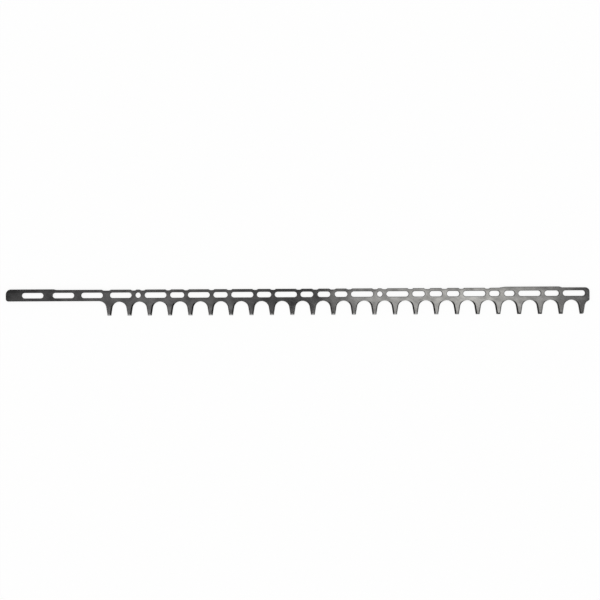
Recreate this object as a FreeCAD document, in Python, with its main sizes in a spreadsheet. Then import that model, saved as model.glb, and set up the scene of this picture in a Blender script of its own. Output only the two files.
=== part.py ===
"""Hedge trimmer blade: one flat steel blade with teeth along one side.

Units are millimetres. The blade lies flat on its mating face at z = 0 with the
ground bevels on the upper face. The origin is the centre of the locating hole
nearest the heel, +X runs towards the nose and +Y towards the toothless back.
"""
import FreeCAD, Part
import math
import os
import Sketcher

# Driving sizes. Each one goes into a cell of the spreadsheet under its own name.
SIZES = {
    # strip
    "blade_thickness": 2.3,
    "back_height": 8.85,            # slot line to the back edge
    "belly_height": 9.0,            # slot line to the lower edge of the shank
    "heel_rim": 25.2,               # last slot end to the heel end
    "nose_rim_least": 6.0,          # last slot end to the nose end, at least
    "heel_back_radius": 8.0,
    "heel_belly_radius": 4.0,
    "nose_back_radius": 6.5,
    "nose_corner_radius": 2.5,      # where the last gap meets the nose end
    "nose_tooth_radius": 2.5,       # outer tip corner of the last tooth
    # raised pads on the back edge
    "heel_pad_rise": 1.05,
    "heel_pad_overlap": 1.5,        # how far the heel pad runs over the second slot
    "heel_pad_ramp": 5.0,
    "nose_pad_rise": 1.5,
    "nose_pad_ramp": 10.0,          # gentle rise towards the nose
    "nose_pad_step": 4.6,           # steeper fall at its far end
    # teeth
    "tooth_pitch": 32.0,
    "first_tooth_setback": 45.9,    # first tooth to the origin hole
    "nose_overhang": 11.5,          # last tooth to the nose end
    "root_height": 10.1,            # slot line to the root of a gap
    "tip_height": 32.1,             # slot line to the tooth tips
    "tooth_tip_width": 5.9,
    "flank_angle": 9.0,             # degrees from square to the back edge
    "edge_land": 0.5,               # thickness left under the ground bevels
    "flank_bevel_width": 1.8,
    "tip_bevel_width": 1.6,
    # slots and holes, with the webs between them
    "slot_width": 8.5,
    "guide_slot_length": 34.6,
    "locating_hole_diameter": 8.5,
    "hole_web": 5.9,
    "heel_web": 10.8,
    "end_web": 14.2,
    "guide_web": 5.6,               # between a guide slot and a lightening slot
    "lightening_web": 7.0,          # between two lightening slots
    "lone_slot_length": 22.4,       # lightening slots by how many stand together
    "pair_slot_length": 16.1,
    "trio_slot_length": 19.7,
    # relief dips in the back edge over the webs
    "relief_radius": 5.0,
    "relief_depth": 1.45,
    "relief_inset": 3.5,            # web length less the flat of its relief dip
}

SHEET = "Dimensions"
CLEAR = 4.0                         # how far a cutting shape stands clear of the steel
GROUP = 9                           # slots or dips drawn in one sketch

doc = FreeCAD.newDocument("hedge_trimmer_blade")
sheet = doc.addObject("Spreadsheet::Sheet", SHEET)
for row, (size_name, size_value) in enumerate(SIZES.items(), 1):
    sheet.set(f"A{row}", size_name)
    sheet.set(f"B{row}", str(size_value))
    sheet.setAlias(f"B{row}", size_name)
doc.recompute()


class Size:
    """A number together with the spreadsheet expression that gives it."""

    def __init__(self, number, text=None):
        self.number = float(number)
        self.text = text or repr(float(number))

    @staticmethod
    def of(thing):
        return thing if isinstance(thing, Size) else Size(thing)

    def __add__(self, other):
        other = Size.of(other)
        return Size(self.number + other.number, f"({self.text} + {other.text})")

    def __sub__(self, other):
        other = Size.of(other)
        return Size(self.number - other.number, f"({self.text} - {other.text})")

    def __mul__(self, other):
        other = Size.of(other)
        return Size(self.number * other.number, f"({self.text} * {other.text})")

    def __truediv__(self, other):
        other = Size.of(other)
        return Size(self.number / other.number, f"({self.text} / {other.text})")

    def __neg__(self):
        return Size(-self.number, f"(0 - {self.text})")

    def sine(self):
        return Size(math.sin(math.radians(self.number)), f"sin({self.text} * 1 deg)")

    def cosine(self):
        return Size(math.cos(math.radians(self.number)), f"cos({self.text} * 1 deg)")

    def tangent(self):
        return Size(math.tan(math.radians(self.number)), f"tan({self.text} * 1 deg)")

    def round_up(self):
        return Size(math.ceil(self.number), f"ceil({self.text})")


def size(name):
    return Size(SIZES[name], f"{SHEET}.{name}")


# Openings along the slot line, each as kind, length and the web before it.
slot_radius = size("slot_width") / 2
hole_radius = size("locating_hole_diameter") / 2
hole_web = size("hole_web")
guide_web = size("guide_web")
light_web = size("lightening_web")
heel_web = size("heel_web")
LENGTHS = {
    "hole": hole_radius * 2,
    "guide": size("guide_slot_length"),
    "lone": size("lone_slot_length"),
    "pair": size("pair_slot_length"),
    "trio": size("trio_slot_length"),
}
LONE_STRETCH = [("lone", guide_web), ("guide", guide_web)]
PAIR_STRETCH = [("pair", guide_web), ("pair", light_web), ("guide", guide_web)]
TRIO_STRETCH = [("trio", guide_web)] + 2 * [("trio", light_web)] + [("guide", guide_web)]
HOLE_STRETCH = [("hole", hole_web), ("guide", hole_web)]
NOSE_ROW = ([("guide", hole_web)] + 3 * LONE_STRETCH + TRIO_STRETCH + HOLE_STRETCH
            + TRIO_STRETCH + PAIR_STRETCH + LONE_STRETCH)
HEEL_ROW = [("guide", hole_web), ("guide", heel_web), ("guide", heel_web), ("guide", size("end_web"))]


class Opening:
    """One slot or hole in the slot line, with the X of its heel and nose ends."""

    def __init__(self, kind, heel_side, nose_side):
        self.kind = kind
        self.heel_side = heel_side
        self.nose_side = nose_side
        self.radius = hole_radius if kind == "hole" else slot_radius


def walk_row():
    """Lay the openings out from the origin hole to the heel, and then to the nose."""
    to_heel, to_nose = [], [Opening("hole", -hole_radius, hole_radius)]
    edge = -hole_radius
    for kind, web in HEEL_ROW:
        nose_side = edge - web
        edge = nose_side - LENGTHS[kind]
        to_heel.append(Opening(kind, edge, nose_side))
    edge = hole_radius
    for kind, web in NOSE_ROW:
        heel_side = edge + web
        edge = heel_side + LENGTHS[kind]
        to_nose.append(Opening(kind, heel_side, edge))
    return to_heel, to_nose


heel_openings, nose_openings = walk_row()
last_guide = nose_openings[-1]
last_light = nose_openings[-2]
pair_lights = [opening for opening in nose_openings if opening.kind == "pair"]

# Levels and ends of the strip.
thickness = size("blade_thickness")
back = size("back_height")
belly = -size("belly_height")
tip = -size("tip_height")
root = -size("root_height")
heel_end = heel_openings[-1].heel_side - size("heel_rim")

# Teeth. Their number follows from the pitch and from the slots they have to cover.
pitch = size("tooth_pitch")
flank = size("flank_angle")
land = size("edge_land")
first_tooth = -size("first_tooth_setback")
overhang = size("nose_overhang")
toothed_length = last_guide.nose_side + size("nose_rim_least") - overhang - first_tooth
pitches = (toothed_length / pitch).round_up()
nose_end = first_tooth + pitches * pitch + overhang
first_gap = first_tooth + pitch / 2
heel_gap = first_tooth - pitch / 2

# The root arc of a gap meets both flanks at a tangent, which sets its radius.
gap_at_root_line = (pitch - size("tooth_tip_width")) / 2 - (root - tip) * flank.tangent()
arc_share = (Size(1) - flank.sine()) / flank.cosine()
gap_radius = gap_at_root_line / arc_share
bevel_radius = gap_radius + size("flank_bevel_width") / (Size(1) - flank.sine())

body = doc.addObject("PartDesign::Body", "trimmer_blade")
body.Label = "trimmer_blade"
ORIGIN = {feature.Role: feature for feature in body.Origin.OriginFeatures}
START, END, CENTRE = range(1, 4)    # the sketcher's own numbers for the points of an element
ORIGIN_POINT = (-1, 1)
UPWARDS = FreeCAD.Vector(0, 0, 1)


def point(x, y):
    return FreeCAD.Vector(x.number, y.number, 0)


class Outline:
    """Collects the elements, rules and dimensions of one sketch, then draws them in one go."""

    def __init__(self, name, plane="XY_Plane", height=None):
        self.sketch = body.newObject("Sketcher::SketchObject", name)
        self.sketch.AttachmentSupport = [(ORIGIN[plane], "")]
        self.sketch.MapMode = "FlatFace"
        if height is not None:
            self.sketch.setExpression("AttachmentOffset.Base.z", height.text)
        self.elements = []
        self.rules = []
        self.bindings = []

    def add(self, element):
        self.elements.append(element)
        return len(self.elements) - 1

    def line(self, start, end):
        return self.add(Part.LineSegment(point(*start), point(*end)))

    def circle(self, centre, radius):
        return self.add(Part.Circle(point(*centre), UPWARDS, radius.number))

    def arc(self, centre, radius, first_degrees, last_degrees):
        circle = Part.Circle(point(*centre), UPWARDS, radius.number)
        return self.add(Part.ArcOfCircle(circle, math.radians(first_degrees), math.radians(last_degrees)))

    def rule(self, kind, *references):
        self.rules.append(Sketcher.Constraint(kind, *references))

    def join(self, kind, *pairs):
        """Join ends, each pair given as element, point, element, point."""
        for pair in pairs:
            self.rule(kind, *pair)

    def measure(self, kind, references, value):
        """A dimension tied to its spreadsheet expression."""
        self.bindings.append((len(self.rules), value))
        self.rule(kind, *references, value.number)

    def x(self, element, which, value):
        self.measure("DistanceX", (*ORIGIN_POINT, element, which), value)

    def y(self, element, which, value):
        self.measure("DistanceY", (*ORIGIN_POINT, element, which), value)

    def at(self, element, which, corner):
        self.x(element, which, corner[0])
        self.y(element, which, corner[1])

    def radius(self, element, value):
        self.measure("Radius", (element,), value)

    def draw(self):
        self.sketch.addGeometry(self.elements)
        self.sketch.addConstraint(self.rules)
        for index, value in self.bindings:
            self.sketch.setExpression(f"Constraints[{index}]", value.text)
        self.sketch.Visibility = False
        return self.sketch


def cut(kind, name, profile, **settings):
    """Make a cutting feature and see that it takes steel away."""
    before = body.Shape.Volume
    feature = body.newObject(f"PartDesign::{kind}", name)
    feature.Profile = profile
    for key, value in settings.items():
        setattr(feature, key, value)
    doc.recompute()
    if body.Shape.Volume > before - 0.01:
        raise RuntimeError(f"{name} cuts nothing")
    return feature


def cut_through(name, profile):
    return cut("Pocket", name, profile, Type="ThroughAll", Reversed=True)


def repeat_along_teeth(name, feature):
    """Repeat a cut at every pitch up to the nose, and make that the body's last step."""
    before = body.Shape.Volume
    pattern = body.newObject("PartDesign::LinearPattern", name)
    pattern.Originals = [feature]
    pattern.Direction = (ORIGIN["X_Axis"], [""])
    pattern.Mode = "Spacing"
    pattern.setExpression("Offset", pitch.text)
    pattern.setExpression("Occurrences", (pitches + 1).text)
    body.Tip = pattern
    doc.recompute()
    if body.Shape.Volume > before - 0.01:
        raise RuntimeError(f"{name} repeats nothing")
    return pattern


def blank_outline():
    """The strip before its gaps are cut, with the first flank and both back pads."""
    outline = Outline("blank_outline")
    heel_top = back + size("heel_pad_rise")
    nose_top = back + size("nose_pad_rise")
    heel_ramp = size("heel_pad_ramp")
    nose_ramp = size("nose_pad_ramp")
    nose_step = size("nose_pad_step")
    heel_pad_end = heel_openings[-2].heel_side + size("heel_pad_overlap")
    nose_pad_start = (pair_lights[0].nose_side + pair_lights[1].heel_side - nose_ramp) / 2
    nose_pad_end = last_light.nose_side
    heel_r = size("heel_back_radius")
    sole_r = size("heel_belly_radius")
    nose_r = size("nose_back_radius")
    flank_y = belly - gap_radius
    tooth_x = heel_gap + gap_radius * arc_share + (belly - tip) * flank.tangent()
    tangent = (heel_gap + gap_radius * flank.cosine(), flank_y + gap_radius * flank.sine())

    heel = outline.line((heel_end, belly + sole_r), (heel_end, heel_top - heel_r))
    heel_arc = outline.arc((heel_end + heel_r, heel_top - heel_r), heel_r, 90, 180)
    corners = [(heel_end + heel_r, heel_top), (heel_pad_end, heel_top), (heel_pad_end + heel_ramp, back),
               (nose_pad_start, back), (nose_pad_start + nose_ramp, nose_top), (nose_pad_end, nose_top),
               (nose_pad_end + nose_step, back), (nose_end - nose_r, back)]
    edges = [outline.line(*ends) for ends in zip(corners, corners[1:])]
    nose_arc = outline.arc((nose_end - nose_r, back - nose_r), nose_r, 0, 90)
    nose = outline.line((nose_end, back - nose_r), (nose_end, tip))
    tips = outline.line((nose_end, tip), (tooth_x, tip))
    first_flank = outline.line((tooth_x, tip), tangent)
    flank_arc = outline.arc((heel_gap, flank_y), gap_radius, flank.number, 90)
    sole = outline.line((heel_gap, belly), (heel_end + sole_r, belly))
    sole_arc = outline.arc((heel_end + sole_r, belly + sole_r), sole_r, 180, 270)

    outline.join("Coincident", *[(one, END, two, START) for one, two in zip(edges, edges[1:])])
    outline.join("Coincident", (nose, END, tips, START), (tips, END, first_flank, START))
    outline.join("Tangent", (heel, END, heel_arc, END), (heel_arc, START, edges[0], START),
                 (edges[-1], END, nose_arc, END), (nose_arc, START, nose, START),
                 (first_flank, END, flank_arc, START), (flank_arc, END, sole, START),
                 (sole, END, sole_arc, END), (sole_arc, START, heel, START))
    for upright in (heel, nose):
        outline.rule("Vertical", upright)
    for flat in (edges[0], edges[-1], sole):
        outline.rule("Horizontal", flat)
    for edge, corner in zip(edges[:-1], corners[1:-1]):
        outline.at(edge, END, corner)
    outline.x(heel, START, heel_end)
    outline.at(nose, END, (nose_end, tip))
    outline.at(tips, END, (tooth_x, tip))
    outline.y(sole, END, belly)
    outline.x(flank_arc, CENTRE, heel_gap)
    outline.radius(heel_arc, heel_r)
    outline.radius(nose_arc, nose_r)
    outline.radius(flank_arc, gap_radius)
    outline.radius(sole_arc, sole_r)
    return outline.draw()


def gap_outline(name, centre, top, radius, height=None, half=False):
    """The gap between two teeth at one height, or only the half beside one tooth."""
    outline = Outline(name, height=height)
    bottom = tip - CLEAR
    reach = radius * arc_share + (top - bottom) * flank.tangent()
    arc_y = top - radius
    side_x = radius * flank.cosine()
    side_y = arc_y + radius * flank.sine()
    left_low = (centre, bottom) if half else (centre - reach, bottom)
    left_high = (centre, top) if half else (centre - side_x, side_y)
    arc = outline.arc((centre, arc_y), radius, flank.number, 90 if half else 180 - flank.number)
    right = outline.line((centre + side_x, side_y), (centre + reach, bottom))
    mouth = outline.line((centre + reach, bottom), left_low)
    left = outline.line(left_low, left_high)
    outline.join("Tangent", (arc, START, right, START))
    outline.join("Coincident" if half else "Tangent", (left, END, arc, END))
    outline.join("Coincident", (right, END, mouth, START), (mouth, END, left, START))
    outline.rule("Horizontal", mouth)
    if half:
        outline.rule("Vertical", left)
    outline.at(arc, CENTRE, (centre, arc_y))
    outline.radius(arc, radius)
    outline.at(mouth, START, (centre + reach, bottom))
    outline.x(mouth, END, left_low[0])
    return outline.draw()


def add_round_slot(outline, left_x, right_x, y, radius):
    """A slot with half-round ends about two centres."""
    left = outline.arc((left_x, y), radius, 90, 270)
    right = outline.arc((right_x, y), radius, -90, 90)
    low = outline.line((left_x, y - radius), (right_x, y - radius))
    high = outline.line((right_x, y + radius), (left_x, y + radius))
    outline.join("Tangent", (left, END, low, START), (low, END, right, START),
                 (right, END, high, START), (high, END, left, START))
    outline.rule("Equal", left, right)
    outline.rule("Horizontal", low)
    outline.radius(left, radius)
    outline.at(left, CENTRE, (left_x, y))
    outline.x(right, CENTRE, right_x)


def slot_outline(name, openings):
    """Slots and holes on the slot line."""
    outline = Outline(name)
    line_y = Size(0)
    for opening in openings:
        left_x = opening.heel_side + opening.radius
        if opening.kind == "hole":
            hole = outline.circle((left_x, line_y), opening.radius)
            outline.at(hole, CENTRE, (left_x, line_y))
            outline.radius(hole, opening.radius)
        else:
            add_round_slot(outline, left_x, opening.nose_side - opening.radius, line_y, opening.radius)
    return outline.draw()


def relief_outline(name, webs):
    """Dips in the back edge, each given by the openings on both sides of its web."""
    outline = Outline(name)
    radius = size("relief_radius")
    inset = size("relief_inset") / 2
    y = back - size("relief_depth") + radius
    for heelward, noseward in webs:
        add_round_slot(outline, heelward.nose_side + inset, noseward.heel_side - inset, y, radius)
    return outline.draw()


def cut_in_groups(name, make_outline, things):
    """Cut a long row a few at a time, because small sketches solve far faster."""
    for number, first in enumerate(range(0, len(things), GROUP), 1):
        outline = make_outline(f"{name}_outline_{number}", things[first:first + GROUP])
        cut_through(f"{name}_{number}", outline)


def tip_bevel_outline():
    """Side view of the ground tips: a wedge taken off the upper edge of every tip."""
    outline = Outline("tip_bevel_outline", plane="YZ_Plane")
    rise = (thickness - land) / size("tip_bevel_width") * CLEAR
    outer = tip - CLEAR
    inner = tip + size("tip_bevel_width") + CLEAR
    corners = [(outer, land - rise), (inner, thickness + rise), (outer, thickness + rise)]
    lines = [outline.line(corners[at], corners[(at + 1) % 3]) for at in range(3)]
    outline.join("Coincident", *[(lines[at], END, lines[(at + 1) % 3], START) for at in range(3)])
    for line, corner in zip(lines, corners):
        outline.at(line, START, corner)
    return outline.draw()


# Blank strip.
blank = body.newObject("PartDesign::Pad", "blank")
blank.Profile = blank_outline()
blank.setExpression("Length", thickness.text)
doc.recompute()

# Back edge relieved over the webs from the first tooth to the nose pad.
slot_row = heel_openings[::-1] + nose_openings
relieved = slot_row[slot_row.index(heel_openings[1]):slot_row.index(pair_lights[0]) + 1]
cut_in_groups("relief_dips", relief_outline, list(zip(relieved, relieved[1:])))

# Gaps between the teeth, the last one cut short by the nose.
gap = cut_through("gap", gap_outline("gap_outline", first_gap, root, gap_radius))
gaps = repeat_along_teeth("gaps", gap)


def upright_edge(x):
    """Name of the upright edge at x on the toothed side."""
    for number, edge in enumerate(body.Shape.Edges, 1):
        ends = [vertex.Point for vertex in edge.Vertexes]
        upright = len(ends) == 2 and abs(ends[0].z - ends[1].z) > thickness.number / 2
        if upright and all(abs(end.x - x.number) < 1e-4 and end.y < 0 for end in ends):
            return f"Edge{number}"
    raise RuntimeError(f"no upright edge at {x.number}")


def round_corner(name, base, x, radius):
    """Round off the upright edge that stands at x."""
    corner = body.newObject("PartDesign::Fillet", name)
    corner.Base = (base, [upright_edge(x)])
    corner.setExpression("Radius", radius.text)
    body.Tip = corner
    doc.recompute()
    return corner


# The outer corners of the nose are rounded off, so that they don't snag.
last_tip_corner = nose_end - overhang + size("tooth_tip_width") / 2
nose_corner = round_corner("nose_corner_round", gaps, nose_end, size("nose_corner_radius"))
round_corner("nose_tooth_round", nose_corner, last_tip_corner, size("nose_tooth_radius"))

# Ground bevels, full on the flanks and running out at the root of each gap.
low_bevel = gap_outline("gap_bevel_low", first_gap, root, gap_radius, land)
high_bevel = gap_outline("gap_bevel_high", first_gap, root, bevel_radius, thickness)
gap_bevel = cut("SubtractiveLoft", "gap_bevel", low_bevel, Sections=[high_bevel], Ruled=True)
repeat_along_teeth("gap_bevels", gap_bevel)
low_heel = gap_outline("heel_bevel_low", heel_gap, belly, gap_radius, land, half=True)
high_heel = gap_outline("heel_bevel_high", heel_gap, belly, bevel_radius, thickness, half=True)
cut("SubtractiveLoft", "heel_bevel", low_heel, Sections=[high_heel], Ruled=True)
cut("Pocket", "tip_bevels", tip_bevel_outline(), Type="ThroughAll", SideType="Symmetric")

# Slots and holes.
cut_in_groups("slots", slot_outline, slot_row)

# Check everything, then write the blade.
for thing in doc.Objects:
    if "Invalid" in thing.State or "Error" in thing.State:
        raise RuntimeError(f"{thing.Name} is in state {thing.State}")
if body.Shape.isNull() or not body.Shape.isValid() or len(body.Shape.Solids) != 1:
    raise RuntimeError("the blade is not one valid solid")

os.makedirs("parts", exist_ok=True)
body.Placement = FreeCAD.Placement()
body.Shape.exportStep(f"parts/{body.Label}.step")
print("teeth", int(pitches.number) + 1, "volume", round(body.Shape.Volume, 1))
print("heel", round(heel_end.number, 3), "nose", round(nose_end.number, 3))
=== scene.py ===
# %% [markdown]
# # One blade of a hedge trimmer
# A hedge trimmer cuts with two long toothed blades that slide over each other. This lesson dresses
# one of them, lying on a white table with its ground side up. The measured shape is a CAD model,
# which is loaded first and stays as it is.

import math
from collections import namedtuple

import bpy
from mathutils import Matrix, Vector
from mathutils.geometry import delaunay_2d_cdt


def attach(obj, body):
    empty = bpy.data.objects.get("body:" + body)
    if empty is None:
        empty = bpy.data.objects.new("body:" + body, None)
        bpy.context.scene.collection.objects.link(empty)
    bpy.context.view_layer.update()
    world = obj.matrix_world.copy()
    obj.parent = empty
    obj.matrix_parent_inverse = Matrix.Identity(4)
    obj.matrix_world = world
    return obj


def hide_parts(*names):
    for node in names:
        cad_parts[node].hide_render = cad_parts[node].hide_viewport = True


MM = 0.001

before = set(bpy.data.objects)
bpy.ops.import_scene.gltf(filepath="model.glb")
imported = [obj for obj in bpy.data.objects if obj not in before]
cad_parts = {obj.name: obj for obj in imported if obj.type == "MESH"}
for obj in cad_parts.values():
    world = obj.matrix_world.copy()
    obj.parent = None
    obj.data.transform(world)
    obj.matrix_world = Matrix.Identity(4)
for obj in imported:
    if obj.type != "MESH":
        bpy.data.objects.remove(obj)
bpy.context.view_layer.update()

# %% [markdown]
# ## Sizes of the blade
# A stamped blade is a drawing given a thickness, so its sizes are the numbers of that drawing.
# They are in millimetres and on the drawing's own axes: the locating hole near the heel is the
# origin, x runs to the nose, y to the plain back edge, and the teeth point to negative y. Sizes
# that only one later step needs are named in that step.

# %% Sizes in millimetres
THICKNESS = 2.3
BACK = 8.85                  # back edge above the slot line
BELLY = -9.0                 # plain lower edge of the heel
HEEL_RIM = 25.2
HEEL_BACK_RADIUS = 8.0
HEEL_BELLY_RADIUS = 4.0
NOSE_BACK_RADIUS = 6.5
NOSE_CORNER_RADIUS = 2.5     # where the last gap meets the nose end
NOSE_TOOTH_RADIUS = 2.5      # outer tip corner of the last tooth

HEEL_PAD_RISE = 1.05         # raised pads on the back edge
HEEL_PAD_OVERLAP = 1.5
HEEL_PAD_RAMP = 5.0
NOSE_PAD_RISE = 1.5
NOSE_PAD_RAMP = 10.0
NOSE_PAD_STEP = 4.6

PITCH = 32.0
PITCHES = 23
FIRST_TOOTH = -45.9
NOSE_OVERHANG = 11.5
ROOT = -10.1
TIP = -32.1
TIP_WIDTH = 5.9
FLANK = math.radians(9.0)
LAND = 0.5                   # steel left upright under a ground bevel
FLANK_BEVEL = 2.0
TIP_BEVEL = 2.1

LOW_BREAK = 0.08             # tumbled lower edge
KEEN_BREAK = 0.02            # what is left of it on a cutting edge
ROLL_WIDTH = 0.7             # upper edge that the punch rolled over
ROLL_DEPTH = 0.25
CROWN_MARGIN = 0.3           # face next to a ground bevel, rubbed down a little
CROWN_DEPTH = 0.01
CROWN_START = 0.93           # share of a bevel up to its inner ring

nose_end = FIRST_TOOTH + PITCHES * PITCH + NOSE_OVERHANG
print("teeth:", PITCHES + 1, "nose end:", nose_end)

# %% [markdown]
# ## The row of openings
# The slots let the blade slide on the bolts that hold it to its guide bar, and the shorter ones
# between them only save weight. A table of x positions would hide how they are spaced, so the row
# is walked from the locating hole outwards, one web and one opening at a time, the way a designer
# would step it off along the strip.

# %% Walk the row of openings
SLOT_RADIUS = 4.25
HOLE_WEB, HEEL_WEB, END_WEB = 5.9, 10.8, 14.2
GUIDE_WEB, LIGHT_WEB = 5.6, 7.0
LENGTHS = {"hole": 2 * SLOT_RADIUS, "guide": 34.6, "lone": 22.4, "pair": 16.1, "trio": 19.7}

lone_and_guide = [("lone", GUIDE_WEB), ("guide", GUIDE_WEB)]
pair_and_guide = [("pair", GUIDE_WEB), ("pair", LIGHT_WEB), ("guide", GUIDE_WEB)]
trio_and_guide = [("trio", GUIDE_WEB)] + [("trio", LIGHT_WEB)] * 2 + [("guide", GUIDE_WEB)]
nose_row = (
    [("guide", HOLE_WEB)] + lone_and_guide * 3 + trio_and_guide
    + [("hole", HOLE_WEB), ("guide", HOLE_WEB)] + trio_and_guide
    + pair_and_guide + lone_and_guide
)
heel_row = [("guide", HOLE_WEB), ("guide", HEEL_WEB), ("guide", HEEL_WEB), ("guide", END_WEB)]

Opening = namedtuple("Opening", "kind heelward noseward")


def walk(row, way):
    """Openings of a row that leaves the locating hole at the origin, way 1 or -1 along x."""
    edge, found = LENGTHS["hole"] / 2, []
    for kind, web in row:
        near = edge + web
        edge = near + LENGTHS[kind]
        found.append(Opening(kind, *sorted((way * near, way * edge))))
    return found


origin_hole = Opening("hole", -LENGTHS["hole"] / 2, LENGTHS["hole"] / 2)
to_heel = walk(heel_row, -1)
to_nose = walk(nose_row, 1)
openings = to_heel[::-1] + [origin_hole] + to_nose
heel_end = to_heel[-1].heelward - HEEL_RIM
print(len(openings), "openings, heel end:", heel_end)

# %% [markdown]
# ## Drawing the outline
# The wall of the blade isn't upright everywhere: on the teeth it is ground back to a cutting edge.
# So each point of the outline is kept as a pair, the foot where the wall leaves the table and the
# crown where it reaches the upper face. A third value says how much of the full bevel is ground
# there, from nought on an upright wall to one on the flank of a tooth. Arcs are drawn as short
# chords, small enough that the eye takes them for a curve.

# %% Points, arcs and plain stretches
Rim = namedtuple("Rim", "foot crown ground")


def arc(centre, radius, start, end, steps):
    """Points of an arc between two angles in radians, both ends included."""
    angles = [start + (end - start) * step / steps for step in range(steps + 1)]
    return [Vector(centre) + radius * Vector((math.cos(a), math.sin(a))) for a in angles]


def plain(points):
    """A stretch whose wall stands upright."""
    return [Rim(Vector(p), Vector(p), 0.0) for p in points]


def ground(feet, crowns):
    """A stretch whose wall is ground back from the foot to the crown by the full bevel."""
    return [Rim(Vector(f), Vector(c), 1.0) for f, c in zip(feet, crowns)]


QUARTER = math.pi / 2
SLOT_END_STEPS = 16
stray = SLOT_RADIUS * (1 - math.cos(QUARTER / SLOT_END_STEPS))
print("a slot end of", SLOT_END_STEPS, "chords strays", round(stray, 4), "mm from its circle")

# %% [markdown]
# ## The toothed edge
# A grinding wheel runs down both sides of every gap. It leaves a bevel of one slope that starts
# part of the way round the arc and is soon as wide as on the flanks, while next to nothing is
# taken off at the root. So the crown follows the arc at a distance that grows with the angle from
# the root. The flanks then only have to be joined by straight lines down to the tips.

# %% Gap arcs and tooth tips
GAP_STEPS = 26
RUN_OUT_START, RUN_OUT_END = math.radians(20), math.radians(50)
LEAST_SHARE = 0.12           # of the bevel, ground even at the root

half_gap = (PITCH - TIP_WIDTH) / 2 - (ROOT - TIP) * math.tan(FLANK)
arc_share = (1 - math.sin(FLANK)) / math.cos(FLANK)   # half gap by radius, if tangent to both flanks
foot_radius = half_gap / arc_share
tip_crown = TIP + TIP_BEVEL


def bevel_share(angle):
    """How much of the full bevel is ground at an angle of a gap arc."""
    way = (abs(angle - QUARTER) - RUN_OUT_START) / (RUN_OUT_END - RUN_OUT_START)
    way = min(max(way, 0), 1)
    return LEAST_SHARE + (1 - LEAST_SHARE) * way * way * (3 - 2 * way)


def gap_arc(x, root, start, end, steps):
    """Ground arc round the root of a gap, from one angle to another."""
    centre = Vector((x, root - foot_radius))
    points = []
    for step in range(steps + 1):
        angle = start + (end - start) * step / steps
        outward = Vector((math.cos(angle), math.sin(angle)))
        share = bevel_share(angle)
        foot = centre + foot_radius * outward
        points.append(Rim(foot, foot + share * FLANK_BEVEL * outward, share))
    return points


def flank_end(x, root, side):
    """Where a flank of the gap at x meets the tip, side 1 towards the nose and -1 to the heel."""
    foot = half_gap + (root - TIP) * math.tan(FLANK)
    crown = half_gap + FLANK_BEVEL / math.cos(FLANK) + (root - tip_crown) * math.tan(FLANK)
    return ground([(x + side * foot, TIP)], [(x + side * crown, tip_crown)])


def toothed_edge():
    """From the foot of the heel to the nose, round every tooth."""
    heel_gap = FIRST_TOOTH - PITCH / 2
    points = plain([(heel_gap - FLANK_BEVEL, BELLY)])
    points += gap_arc(heel_gap, BELLY, QUARTER, FLANK, GAP_STEPS // 2)
    points += flank_end(heel_gap, BELLY, 1)
    for number in range(PITCHES):
        x = FIRST_TOOTH + (number + 0.5) * PITCH
        points += flank_end(x, ROOT, -1)
        points += gap_arc(x, ROOT, math.pi - FLANK, FLANK, GAP_STEPS)
        points += flank_end(x, ROOT, 1)
    return points


full_from = round(math.degrees(RUN_OUT_END))
print("gap arcs:", round(foot_radius, 3), "mm radius, full bevel from", full_from, "degrees off the root")

# %% [markdown]
# ## The nose corners
# The last gap is cut short by the square nose, and the outer corners are rounded so that they
# don't snag. A rounding touches two lines, so its centre lies one radius inside both. At the tip
# of the last tooth the lines are the tip and the flank. At the nose they are the nose end and the
# gap arc, and because the steel lies outside that arc, the two radii add up.

# %% Last half gap and rounded corners
NOSE_STEPS = 8


def last_tip():
    """Rounded outer tip corner of the last tooth, with a smaller arc on the upper face."""
    corner_x = nose_end - NOSE_OVERHANG + TIP_WIDTH / 2
    inward = NOSE_TOOTH_RADIUS * (math.tan(FLANK) - 1 / math.cos(FLANK))
    centre = (corner_x + inward, TIP + NOSE_TOOTH_RADIUS)
    crown = NOSE_TOOTH_RADIUS - FLANK_BEVEL
    return ground(arc(centre, NOSE_TOOTH_RADIUS, -QUARTER, -FLANK, NOSE_STEPS),
                  arc(centre, crown, -QUARTER, -FLANK, NOSE_STEPS))


def nose_corner():
    """From the tip of the last tooth to the upright nose end."""
    x = FIRST_TOOTH + (PITCHES + 0.5) * PITCH
    gap_centre = Vector((x, ROOT - foot_radius))
    across = nose_end - NOSE_CORNER_RADIUS - x
    reach = foot_radius + NOSE_CORNER_RADIUS
    centre = Vector((x + across, gap_centre.y + math.sqrt(reach ** 2 - across ** 2)))
    meeting = math.atan2(centre.y - gap_centre.y, across)
    points = last_tip()
    points += gap_arc(x, ROOT, math.pi - FLANK, meeting, GAP_STEPS // 2)
    points += plain(arc(centre, NOSE_CORNER_RADIUS, meeting - math.pi, 0, NOSE_STEPS)[1:])
    return points


print("nose corners:", len(nose_corner()), "points")

# %% [markdown]
# ## The back edge
# The back edge is plain, but not straight. Both ends carry a raised pad that rubs on the guard of
# the machine, and over each web between two openings the edge dips a little, which keeps the strip
# springy. The edge is drawn from the nose back to the heel, because an outline that runs
# anticlockwise always has the steel on its left.

# %% Pads and relief dips
RELIEF_RADIUS = 5.0
RELIEF_DEPTH = 1.45
RELIEF_INSET = 1.75
RELIEF_STEPS = 6
BACK_STEPS, BELLY_STEPS = 12, 10

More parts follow.
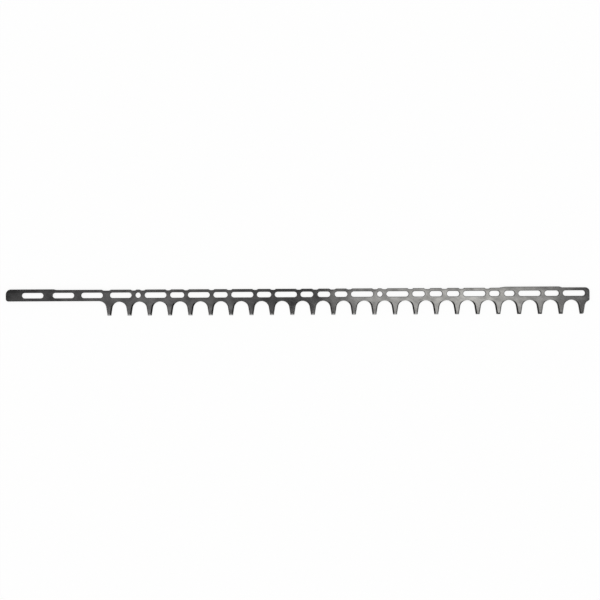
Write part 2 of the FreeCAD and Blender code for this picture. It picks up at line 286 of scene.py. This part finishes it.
pair = [opening for opening in to_nose if opening.kind == "pair"]
heel_pad_top, nose_pad_top = BACK + HEEL_PAD_RISE, BACK + NOSE_PAD_RISE
heel_pad_end = to_heel[-2].heelward + HEEL_PAD_OVERLAP
pair_web = (pair[0].noseward + pair[1].heelward) / 2
nose_pad_end = to_nose[-2].noseward
relieved = openings[openings.index(to_heel[1]):openings.index(pair[0]) + 1]


def relief_dip(heelward, noseward):
    """Dip over the web between two openings, drawn from nose to heel."""
    y = BACK - RELIEF_DEPTH + RELIEF_RADIUS
    mouth = math.asin((RELIEF_RADIUS - RELIEF_DEPTH) / RELIEF_RADIUS)
    right = (noseward.heelward - RELIEF_INSET, y)
    left = (heelward.noseward + RELIEF_INSET, y)
    return (arc(right, RELIEF_RADIUS, -mouth, -QUARTER, RELIEF_STEPS)
            + arc(left, RELIEF_RADIUS, -QUARTER, mouth - math.pi, RELIEF_STEPS))


def back_edge():
    """From the nose end over the back to the lower corner of the heel."""
    nose_centre = (nose_end - NOSE_BACK_RADIUS, BACK - NOSE_BACK_RADIUS)
    heel_centre = (heel_end + HEEL_BACK_RADIUS, heel_pad_top - HEEL_BACK_RADIUS)
    belly_centre = (heel_end + HEEL_BELLY_RADIUS, BELLY + HEEL_BELLY_RADIUS)
    points = arc(nose_centre, NOSE_BACK_RADIUS, 0, QUARTER, BACK_STEPS)
    points += [(nose_pad_end + NOSE_PAD_STEP, BACK), (nose_pad_end, nose_pad_top),
               (pair_web + NOSE_PAD_RAMP / 2, nose_pad_top), (pair_web - NOSE_PAD_RAMP / 2, BACK)]
    for heelward, noseward in reversed(list(zip(relieved, relieved[1:]))):
        points += relief_dip(heelward, noseward)
    points += [(heel_pad_end + HEEL_PAD_RAMP, BACK), (heel_pad_end, heel_pad_top)]
    points += arc(heel_centre, HEEL_BACK_RADIUS, QUARTER, math.pi, BACK_STEPS)
    points += arc(belly_centre, HEEL_BELLY_RADIUS, math.pi, 3 * QUARTER, BELLY_STEPS)
    return plain(points)


outer = toothed_edge() + nose_corner() + back_edge()
print("outline:", len(outer), "points,", len(relieved) - 1, "relief dips")

# %% [markdown]
# ## Slot outlines
# A slot is a rectangle with a half circle at each end, and a round hole is a slot whose half
# circles meet. They are drawn clockwise, so that here too the steel lies on the left of the line
# and one rule can work out which way is into the steel.

# %% Slots and holes
def slot_outline(opening):
    """Clockwise outline of a slot or a round hole."""
    heelward = (opening.heelward + SLOT_RADIUS, 0)
    noseward = (opening.noseward - SLOT_RADIUS, 0)
    points = arc(noseward, SLOT_RADIUS, QUARTER, -QUARTER, SLOT_END_STEPS)
    points += arc(heelward, SLOT_RADIUS, -QUARTER, -3 * QUARTER, SLOT_END_STEPS)
    if opening.kind == "hole":  # its half circles share their end points
        points = points[:SLOT_END_STEPS] + points[SLOT_END_STEPS + 1:-1]
    return plain(points)


outlines = [outer] + [slot_outline(opening) for opening in openings]
print("outlines:", len(outlines))

# %% [markdown]
# ## From outline to solid steel
# One could extrude the outline and bevel its edges, but a bevel modifier can't tell a keen edge
# from a rolled one. A punch pulls the upper edge of the strip down as it cuts, so that edge is
# softly rolled over, while the cutting edges are ground sharp. Here the wall is built as six rings
# of points, and each ring is the outline moved into the steel by as much as that edge needs. The
# two faces are filled afterwards.

# %% Rings of one outline
RINGS = 6
LEAST_CORNER = 0.6           # keeps the step at a sharp corner short
ROLL_BEND = 0.3              # share of the rolled edge at which it bends most


def into_steel(points):
    """For each point of a closed outline, the step to its left that insets it by one millimetre."""
    steps = []
    for before, here, after in zip(points[-1:] + points[:-1], points, points[1:] + points[:1]):
        first, second = (here - before).normalized(), (after - here).normalized()
        left = Vector((-first.y, first.x))
        middle = (left + Vector((-second.y, second.x))).normalized()
        steps.append(middle / max(middle.dot(left), LEAST_CORNER))
    return steps


def ground_levels(rim, foot_step, crown_step):
    """Places and heights up a ground wall: keen edge, land, bevel and a narrow margin."""
    depth = rim.ground * (THICKNESS - LAND)
    land = THICKNESS - depth
    return [
        (rim.foot + KEEN_BREAK * foot_step, 0),
        (rim.foot, KEEN_BREAK),
        (rim.foot, land),
        (rim.foot.lerp(rim.crown, CROWN_START), land + CROWN_START * depth),
        (rim.crown, THICKNESS - rim.ground * CROWN_DEPTH),
        (rim.crown + CROWN_MARGIN * crown_step, THICKNESS),
    ]


def plain_levels(rim, step):
    """Places and heights up an upright wall that ends in a rolled edge."""
    return [
        (rim.foot + LOW_BREAK * step, 0),
        (rim.foot, LOW_BREAK),
        (rim.foot, LAND),
        (rim.foot, THICKNESS - ROLL_DEPTH),
        (rim.foot + ROLL_BEND * ROLL_WIDTH * step, THICKNESS - ROLL_BEND * ROLL_DEPTH),
        (rim.foot + ROLL_WIDTH * step, THICKNESS),
    ]


def wall_rings(outline):
    """Rings of points from the lower face to the upper face."""
    foot_steps = into_steel([rim.foot for rim in outline])
    crown_steps = into_steel([rim.crown for rim in outline])
    rings = [[] for _ in range(RINGS)]
    for rim, foot_step, crown_step in zip(outline, foot_steps, crown_steps):
        if rim.ground:
            levels = ground_levels(rim, foot_step, crown_step)
        else:
            levels = plain_levels(rim, foot_step)
        for ring, (place, height) in zip(rings, levels):
            ring.append(Vector((place.x, place.y, height)) * MM)
    return rings


all_rings = [wall_rings(outline) for outline in outlines]
print("wall points:", sum(len(ring) for rings in all_rings for ring in rings))

# %% [markdown]
# ## Filling the faces
# The upper and lower faces are flat and full of openings. A Delaunay fill keeps their triangles
# well shaped and follows every outline. It fills the openings too, but a triangle that lies in an
# opening has all its corners on that one outline, so those are easy to leave out.

# %% Fill a flat face between its outlines
INSIDE_OUTLINES = 1          # the fill's mode that leaves out what lies outside
SAME_PLACE = 1e-6


def fill_face(loops):
    """Triangles between closed loops of points, the first loop round all the others."""
    places, edges, owner = [], [], []
    for number, loop in enumerate(loops):
        start, count = len(places), len(loop)
        places += [place.to_2d() / MM for place in loop]
        edges += [(start + at, start + (at + 1) % count) for at in range(count)]
        owner += [number] * count
    filled = delaunay_2d_cdt(places, edges, [], INSIDE_OUTLINES, SAME_PLACE)
    _, _, faces, sources, _, _ = filled
    triangles = [tuple(sources[corner][0] for corner in face) for face in faces]
    return [face for face in triangles
            if len({owner[corner] for corner in face}) > 1 or owner[face[0]] == 0]


upper_face = fill_face([rings[-1] for rings in all_rings])
lower_face = fill_face([rings[0] for rings in all_rings])
print("face triangles:", len(upper_face), "above,", len(lower_face), "below")

# %% [markdown]
# ## Building the mesh
# Quads join each ring to the next one. Every quad also takes the number of its finish, because
# the ground bevels, the sheared walls and the rolled edges of a real blade don't look alike. The
# flat faces keep flat shading, and the walls are smooth where their rings bend only a little.

# %% Mesh of the blade
FACE, BEVEL, ROLLED, WALL, TIP_FINISH = range(5)
GROUND_FINISHES = (WALL, WALL, BEVEL, BEVEL, FACE)
TIP_FINISHES = (WALL, WALL, TIP_FINISH, TIP_FINISH, FACE)
PLAIN_FINISHES = (WALL, WALL, WALL, ROLLED, ROLLED)
CREASE = math.radians(35)


def wall_finishes(here, after):
    """Finishes from the table up between two neighbours of an outline."""
    if not (here.ground and after.ground):
        return PLAIN_FINISHES
    on_tip = max(here.foot.y, after.foot.y) < TIP + LOW_BREAK
    return TIP_FINISHES if on_tip else GROUND_FINISHES


def build_blade(name):
    """Object with all walls and both faces, each face numbered by its finish."""
    points, polygons, finishes = [], [], []
    face_corners = {0: [], RINGS - 1: []}
    for outline, rings in zip(outlines, all_rings):
        start, count = len(points), len(outline)
        points += [place for ring in rings for place in ring]
        for level, corners in face_corners.items():
            corners += [start + level * count + at for at in range(count)]
        for level in range(RINGS - 1):
            low, high = start + level * count, start + (level + 1) * count
            for at in range(count):
                after = (at + 1) % count
                polygons.append((low + at, low + after, high + after, high + at))
                finishes.append(wall_finishes(outline[at], outline[after])[level])
    for level, triangles in ((0, lower_face), (RINGS - 1, upper_face)):
        for triangle in triangles:
            turned = triangle if level else triangle[::-1]
            polygons.append(tuple(face_corners[level][corner] for corner in turned))
            finishes.append(FACE)
    mesh = bpy.data.meshes.new(name)
    mesh.from_pydata(points, [], polygons)
    mesh.set_sharp_from_angle(angle=CREASE)
    mesh.polygons.foreach_set("material_index", finishes)
    mesh.polygons.foreach_set("use_smooth", [finish != FACE for finish in finishes])
    made = bpy.data.objects.new(name, mesh)
    bpy.context.scene.collection.objects.link(made)
    return made


blade = build_blade("ground_blade")
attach(blade, "root")
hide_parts("trimmer_blade")
print("blade:", len(blade.data.polygons), "faces")

# %% [markdown]
# ## Shader maths as sums
# A finish is easier to read as a formula than as a web of nodes. This class wraps one output of a
# node, so that sums and products written in Python add the Math nodes they need. Every other kind
# of node comes from its one method, which takes the settings first and then values or links.

# %% A socket that can be used in sums
class Field:
    """One output of a node, or with no socket the tree that new nodes go into."""

    def __init__(self, tree, socket=None):
        self.tree = tree
        self.socket = socket

    def node(self, kind, settings=None, inputs=None, output=0):
        """Add a node, set it up, give its sockets values or links, and wrap one of its outputs."""
        made = self.tree.nodes.new("ShaderNode" + kind)
        for name, value in (settings or {}).items():
            if name == "stops":
                self.set_stops(made.color_ramp, value)
            else:
                setattr(made, name, value)
        for name, value in (inputs or {}).items():
            if isinstance(value, Field):
                self.tree.links.new(value.socket, made.inputs[name])
            else:
                made.inputs[name].default_value = value
        return Field(self.tree, made.outputs[output] if made.outputs else None)

    @staticmethod
    def set_stops(ramp, stops):
        while len(ramp.elements) < len(stops):
            ramp.elements.new(1.0)
        for element, (place, colour) in zip(ramp.elements, stops):
            element.position = place
            element.color = (*colour, 1.0)

    def maths(self, operation, first, second):
        return self.node("Math", {"operation": operation}, {0: first, 1: second})

    def mix(self, factor, first, second):
        """Between two colours, each a link or four numbers."""
        return self.node("Mix", {"data_type": "RGBA"}, {0: factor, 6: first, 7: second}, output=2)

    def __add__(self, other):
        return self.maths("ADD", self, other)

    def __sub__(self, other):
        return self.maths("SUBTRACT", self, other)

    def __rsub__(self, other):
        return self.maths("SUBTRACT", other, self)

    def __mul__(self, other):
        return self.maths("MULTIPLY", self, other)

    def __truediv__(self, other):
        return self.maths("DIVIDE", self, other)

    __radd__ = __add__
    __rmul__ = __mul__


def new_material(name):
    material = bpy.data.materials.new(name)
    material.use_nodes = True
    material.node_tree.nodes.clear()
    return material, Field(material.node_tree)


print("sockets can be added, subtracted, multiplied and divided")

# %% [markdown]
# ## Marks on steel
# Grinding, shearing and rubbing all leave marks that run one way. A picture of such marks could be
# laid on the steel, but it would show seams and repeat. So every finish draws its own marks, from
# noise that is stretched along one direction. A second helper lets an effect come up gradually over
# a part of the blade, and a third closes a material, with its marks as fine bumps.

# %% Stretched noise and the close of a finish
NOISE_ROUGHNESS = 0.6
MARK_DEPTH = 0.05            # millimetres


def stretched_noise(nodes, slant, scale, detail=2.0):
    """Noise drawn out along a direction on the blade, scale in features for each metre."""
    place = nodes.node("TexCoord", output="Object")
    turned = nodes.node("Mapping", {"vector_type": "POINT"}, {
        "Vector": place, "Rotation": (0, 0, math.radians(slant))})
    drawn = nodes.node("VectorMath", {"operation": "MULTIPLY"}, {0: turned, 1: scale})
    return nodes.node("TexNoise", {"noise_dimensions": "3D"}, {
        "Vector": drawn, "Scale": 1.0, "Detail": detail, "Roughness": NOISE_ROUGHNESS})


def rise(nodes, value, start, end):
    """Smoothly from nought at the start to one at the end."""
    return nodes.node("MapRange", {"interpolation_type": "SMOOTHSTEP"}, {
        "Value": value, "From Min": start, "From Max": end, "To Min": 0.0, "To Max": 1.0})


def finish_steel(nodes, colour, roughness, marks=None, strength=0.0):
    """Close a steel material, with marks pressed into it where there are any."""
    inputs = {"Base Color": colour, "Metallic": 1.0, "Roughness": roughness}
    if marks is not None:
        inputs["Normal"] = nodes.node("Bump", {}, {
            "Strength": strength, "Distance": MARK_DEPTH * MM, "Height": marks})
    surface = nodes.node("BsdfPrincipled", {}, inputs)
    nodes.node("OutputMaterial", {}, {"Surface": surface})


print("marks are at most", MARK_DEPTH, "mm deep")

# %% [markdown]
# ## Ground steel of the faces
# The flat faces were run under a wide grinding belt that crossed the strip at a slant, and they
# have since been handled and oiled. That gives fine slanted scratches, some broader bands where
# the belt was worn, and soft cloudy patches. Noise that is stretched along the scratch direction
# makes the first two, and plain noise the third. The narrow back strip is made darker. The teeth
# of the heel half get a painted highlight, and the teeth towards the nose a little painted shade.
# All of this follows the place on the blade, so it comes from the blade's own coordinates.

# %% Finish of the faces
GRIND_SLANT = 32.0
FACE_DARK, FACE_LIGHT = (0.285, 0.284, 0.286, 1), (0.535, 0.533, 0.533, 1)
SCRATCH_SHARE, BAND_SHARE, CLOUD_SHARE = 0.4, 0.8, 2.8
TONE_START = 0.5 - (SCRATCH_SHARE + BAND_SHARE + CLOUD_SHARE) / 2   # so that the mean tone is a half
DARKENING_START, DARKENING_FULL = 3.5, 5.5         # across the blade, in millimetres
TOOTH_START, TOOTH_FULL = -12.0, -25.0
TOOTH_LIGHT_START, TOOTH_LIGHT_FULL = 330.0, 230.0       # along the blade, from the nose side
# how much darker the back strip gets, then the painted highlight and painted shade on the teeth
BACK_DARKENING, TOOTH_PAINTED_LIGHT, TOOTH_PAINTED_SHADE = 0.22, 0.38, 0.08

face_steel, nodes = new_material("ground_steel_faces")
scratches = stretched_noise(nodes, GRIND_SLANT, (60, 2400, 60), detail=3.0)
bands = stretched_noise(nodes, GRIND_SLANT, (22, 330, 22))
clouds = stretched_noise(nodes, 0, (60, 80, 60), detail=4.0)
tone = scratches * SCRATCH_SHARE + bands * BAND_SHARE + clouds * CLOUD_SHARE + TONE_START
face_tone = nodes.mix(tone, FACE_DARK, FACE_LIGHT)
place = nodes.node("TexCoord", output="Object")
along = nodes.node("SeparateXYZ", {}, {0: place}, output="X")
across = nodes.node("SeparateXYZ", {}, {0: place}, output="Y")
# the steel is made darker towards the back edge
back_darkening = rise(nodes, across, DARKENING_START * MM, DARKENING_FULL * MM) * BACK_DARKENING
# painted light on the teeth: brighter towards the heel, a little darker towards the nose
on_teeth = rise(nodes, across, TOOTH_START * MM, TOOTH_FULL * MM)
tooth_painted_light_and_shade = on_teeth * (rise(nodes, along, TOOTH_LIGHT_START * MM, TOOTH_LIGHT_FULL * MM) * TOOTH_PAINTED_LIGHT - TOOTH_PAINTED_SHADE)
colour = nodes.node("VectorMath", {"operation": "SCALE"}, {0: face_tone, "Scale": 1.0 - back_darkening + tooth_painted_light_and_shade})
finish_steel(nodes, colour, 0.06 + scratches * 0.08 + clouds * 0.06, scratches, strength=0.12)
print(face_steel.name, "has", len(face_steel.node_tree.nodes), "nodes")

# %% [markdown]
# ## Bevels from the wheel, in painted shade
# The bevels are ground last, across the edge. Their steel is duller than the faces, and its colour
# is painted much darker as shade. Short scratches lie square to the tooth.

# %% Finish of the bevels
# painted shade: the bevels are far darker than the steel of the faces
BEVEL_SHADE_DARK, BEVEL_SHADE_LIGHT = (0.06, 0.06, 0.058, 1), (0.12, 0.12, 0.117, 1)

bevel_steel, nodes = new_material("ground_bevels_painted_shade")
wheel_marks = stretched_noise(nodes, 0, (90, 2600, 90), detail=3.0)
patches = stretched_noise(nodes, 0, (120, 120, 120))
colour = nodes.mix(wheel_marks * 0.7 + patches * 0.3, BEVEL_SHADE_DARK, BEVEL_SHADE_LIGHT)
finish_steel(nodes, colour, 0.16 + wheel_marks * 0.12, wheel_marks, strength=0.15)
print(bevel_steel.name, "has", len(bevel_steel.node_tree.nodes), "nodes")

# %% [markdown]
# ## Tips with a painted highlight
# The bevels at the tips get a painted highlight: the pale tone of the faces' steel instead of the
# dark tone of the other bevels, and it depends on the room whether they show as light or as dark spots.

# %% Finish of the tips
# painted highlight: the tip bevels are as pale as the faces, where the other bevels are dark
TIP_HIGHLIGHT_DARK, TIP_HIGHLIGHT_LIGHT = (0.28, 0.28, 0.278, 1), (0.46, 0.46, 0.456, 1)

tip_steel, nodes = new_material("tips_painted_highlight")
tip_streaks = stretched_noise(nodes, 0, (500, 120, 120), detail=3.0)
finish_steel(nodes, nodes.mix(tip_streaks, TIP_HIGHLIGHT_DARK, TIP_HIGHLIGHT_LIGHT), 0.07 + tip_streaks * 0.06)
print(tip_steel.name, "has", len(tip_steel.node_tree.nodes), "nodes")

# %% [markdown]
# ## Sheared walls
# The walls show how the strip was cut: a punch leaves upright streaks, duller and darker than
# ground steel. The noise is stretched along the thickness, so that it runs up and down the wall.

# %% Finish of the walls
WALL_DARK, WALL_LIGHT = (0.09, 0.089, 0.086, 1), (0.2, 0.199, 0.194, 1)

wall_steel, nodes = new_material("sheared_steel_walls")
streaks = stretched_noise(nodes, 0, (1300, 1300, 90), detail=3.0)
smears = stretched_noise(nodes, 0, (80, 80, 80), detail=3.0)
colour = nodes.mix(streaks * 0.6 + smears * 0.4, WALL_DARK, WALL_LIGHT)
finish_steel(nodes, colour, 0.3 + streaks * 0.25, streaks, strength=0.3)
print(wall_steel.name, "has", len(wall_steel.node_tree.nodes), "nodes")

# %% [markdown]
# ## The rolled margin
# The belt doesn't reach the edges that the punch rolled over, so they keep the dark skin of the
# heat treatment, and their colour is painted near black to stand for the shade of a rolled edge as
# well. It shows as a thin dark line round every slot and along the back, and makes the narrow rails
# look darker than the broad steel between the teeth.

# %% Finish of the rolled margin
# dark skin, painted near black to stand for the shade of the rolled edge as well
SKIN_AND_SHADE_DARK, SKIN_AND_SHADE_LIGHT = (0.035, 0.035, 0.036, 1), (0.12, 0.12, 0.119, 1)

skin_and_edge_shade, nodes = new_material("rolled_edge_skin_and_painted_shade")
flakes = stretched_noise(nodes, 0, (700, 700, 700), detail=3.0)
rubbed = stretched_noise(nodes, 0, (90, 90, 90), detail=3.0)
finish_steel(nodes, nodes.mix(flakes * 0.5 + rubbed * 0.5, SKIN_AND_SHADE_DARK, SKIN_AND_SHADE_LIGHT), 0.3 + flakes * 0.25)
for material in (face_steel, bevel_steel, skin_and_edge_shade, wall_steel, tip_steel):
    blade.data.materials.append(material)
print("finishes on the blade:", [material.name for material in blade.data.materials])

# %% [markdown]
# ## The table
# The blade lies on a plain white table. Part of its white is its own glow as the camera and the
# steel see it, which keeps the table white in the picture, while the rest still takes the soft
# shadow where the blade touches it.

# %% White table
TABLE_HALF = 6.0             # metres
TABLE_DROP = 0.05            # millimetres, to keep it clear of the lower face
TABLE_GLOW = 0.8
TABLE_COLOUR = (0.96, 0.96, 0.955, 1)
WHITE = (1.0, 1.0, 1.0, 1)


def seen_directly(nodes):
    """One for what the camera or a mirror sees, nought for light on its way to a dull surface."""
    camera = nodes.node("LightPath", output="Is Camera Ray")
    mirror = nodes.node("LightPath", output="Is Glossy Ray")
    glass = nodes.node("LightPath", output="Is Transmission Ray")
    return nodes.maths("MINIMUM", camera + mirror + glass, 1.0)


def flat_card(name, points, fields, material):
    """A thing of the studio without thickness, from its points and the fields between them."""
    mesh = bpy.data.meshes.new(name)
    mesh.from_pydata(points, [], fields)
    mesh.materials.append(material)
    card = bpy.data.objects.new(name, mesh)
    bpy.context.scene.collection.objects.link(card)
    return card


table_white, nodes = new_material("table_white")
dull = nodes.node("BsdfDiffuse", {}, {"Color": TABLE_COLOUR})
glow = nodes.node("Emission", {}, {"Color": WHITE, "Strength": 1.0})
both = nodes.node("MixShader", {}, {0: seen_directly(nodes) * TABLE_GLOW, 1: dull, 2: glow})
nodes.node("OutputMaterial", {}, {"Surface": both})
middle = (heel_end + nose_end) / 2 * MM
corners = [(middle + x * TABLE_HALF, y * TABLE_HALF, -TABLE_DROP * MM)
           for x, y in ((-1, -1), (1, -1), (1, 1), (-1, 1))]
table = flat_card("table", corners, [(0, 1, 2, 3)], table_white)
print(table.name, "reaches", TABLE_HALF, "m each way")

# %% [markdown]
# ## The studio
# Polished steel has hardly any colour of its own: it shows the room. Over the table hangs a grey
# ceiling with one large soft panel on the nose side, and the far walls are white. The steel and
# the camera see that room, while dull surfaces get an even white light, which keeps the table free
# of hard shadows. The ceiling is a ramp over the slope of each direction along the blade.

# %% World
SLOPE_REACH = 1.4
LEAST_UPWARD = 0.05          # keeps the slope from growing without end at the horizon
WALL_TOP, WALL_FULL = 0.55, 0.25   # upward part of a direction where the far walls begin and are full
FAR_WALL = (0.992, 0.994, 0.991, 1)
WARMTH = 0.06                # how much blue the lit panel lacks
GREEN = 0.988                # a touch less green than red, for a neutral grey
CEILING = [                  # slope of a direction along the blade, and how bright it is there
    (-1.40, 0.55), (-0.95, 0.40),                             # pale wall beyond the heel
    (-0.72, 0.13), (-0.62, 0.06), (-0.52, 0.09),              # dark gap
    (-0.30, 0.26), (-0.14, 0.21),                             # dim strip
    (-0.08, 0.12), (0.02, 0.09),                              # dark gap
    (0.09, 0.67), (0.22, 0.96), (0.32, 0.97), (0.42, 0.56),   # large panel
    (0.46, 0.15), (0.55, 0.04), (0.68, 0.13),                 # dark gap
    (0.95, 0.45), (1.40, 0.60),                               # pale wall beyond the nose
]

world = bpy.data.worlds.new("studio")
bpy.context.scene.world = world
world.use_nodes = True
world.node_tree.nodes.clear()
nodes = Field(world.node_tree)
direction = nodes.node("TexCoord", output="Generated")
along = nodes.node("SeparateXYZ", {}, {0: direction}, output="X")
upward = nodes.node("SeparateXYZ", {}, {0: direction}, output="Z")
slope = along / nodes.maths("MAXIMUM", upward, LEAST_UPWARD)
stops = [((at + SLOPE_REACH) / (2 * SLOPE_REACH),
          (level, level * GREEN, level * (1 - WARMTH * level))) for at, level in CEILING]
ceiling = nodes.node("ValToRGB", {"stops": stops}, {0: (slope + SLOPE_REACH) / (2 * SLOPE_REACH)})
lowness = rise(nodes, upward, WALL_TOP, WALL_FULL)
room = nodes.mix(lowness, ceiling, FAR_WALL)
light = nodes.mix(seen_directly(nodes), WHITE, room)
sky = nodes.node("Background", {}, {"Color": light, "Strength": 1.0})
nodes.node("OutputWorld", {}, {"Surface": sky})
print("world nodes:", len(world.node_tree.nodes))

# %% [markdown]
# ## Black cards
# Photographers set black cards beside shiny things to give their edges a line. One stands beyond
# each end of the blade, and a third in front on the nose side. Only the steel sees them, so the
# bevels that face the middle of the blade turn dark while the table stays as it is. A card with
# hard edges would show as a patch in the flat steel from low down. So each card is a grid of nine
# fields, black in the middle and fading to clear at its rim, by a value stored in its points.

# %% Black cards, in metres
CARD_DISTANCE, FRONT_DISTANCE = 1.05, 1.5
CARD_TOP, CARD_FADE = 0.85, 0.2
HEEL_FOOT, NOSE_FOOT, FRONT_FOOT = 0.08, 0.13, 0.0
HEEL_REACH, NOSE_REACH = (0.3, -0.1, -1.6, -2.2), (0.3, -0.1, -1.4, -1.9)
FRONT_REACH = (0.5, 0.85, 1.6, 2.0)
CARD_COLOUR = (0.02, 0.02, 0.02, 1)


def fading_card(name, points_at, reach, foot, material):
    """A card over four places along it and four heights, black between the inner ones."""
    heights = (foot, foot + CARD_FADE, CARD_TOP - CARD_FADE, CARD_TOP)
    points = [points_at(place, height) for height in heights for place in reach]
    side = len(reach)
    last = side - 1
    fields = [(n, n + 1, n + side + 1, n + side)
              for row in range(last) for n in range(row * side, row * side + last)]
    card = flat_card(name, points, fields, material)
    inner = [float(0 < row < last and 0 < column < last)
             for row in range(side) for column in range(side)]
    card.data.attributes.new("blackness", "FLOAT", "POINT").data.foreach_set("value", inner)
    card.visible_camera = False
    card.visible_diffuse = False
    card.visible_shadow = False
    return card


card_black, nodes = new_material("card_black")
black = nodes.node("BsdfDiffuse", {}, {"Color": CARD_COLOUR})
clear = nodes.node("BsdfTransparent")
blackness = nodes.node("Attribute", {"attribute_name": "blackness"}, output="Fac")
nodes.node("OutputMaterial", {}, {
    "Surface": nodes.node("MixShader", {}, {0: blackness, 1: clear, 2: black})})
cards = [
    fading_card("heel_card", lambda y, z: (middle - CARD_DISTANCE, y, z),
                HEEL_REACH, HEEL_FOOT, card_black),
    fading_card("nose_card", lambda y, z: (middle + CARD_DISTANCE, y, z),
                NOSE_REACH, NOSE_FOOT, card_black),
    fading_card("front_card", lambda x, z: (middle + x, -FRONT_DISTANCE, z),
                FRONT_REACH, FRONT_FOOT, card_black),
]
print(len(cards), "cards, the nearest", CARD_DISTANCE, "m from the middle")

# %% [markdown]
# ## The camera
# The picture was taken from straight above, close enough for the ends to show a little of their
# walls. Distance sets that perspective and the lens then sets how large the blade is. The blade
# lies a touch askew in the frame, which is a small turn of the camera.

# %% Camera
FRAME_PIXELS = 600
FOCAL_PIXELS = 577.2
SENSOR = 36.0
CAMERA_HEIGHT = 900.0        # millimetres over the upper face
CAMERA_X, CAMERA_Y = 271.45, -8.84
CAMERA_TILT, CAMERA_TURN = 1.1025, -0.2725   # degrees

camera = bpy.data.objects.new("camera", bpy.data.cameras.new("camera"))
bpy.context.scene.collection.objects.link(camera)
camera.location = Vector((CAMERA_X, CAMERA_Y, CAMERA_HEIGHT + THICKNESS)) * MM
camera.rotation_euler = (0, math.radians(CAMERA_TILT), math.radians(CAMERA_TURN))
camera.data.sensor_fit = "HORIZONTAL"
camera.data.sensor_width = SENSOR
camera.data.lens = FOCAL_PIXELS * SENSOR / FRAME_PIXELS
bpy.context.scene.camera = camera
bpy.context.scene.view_settings.view_transform = "Standard"
print("lens:", round(camera.data.lens, 2), "mm")
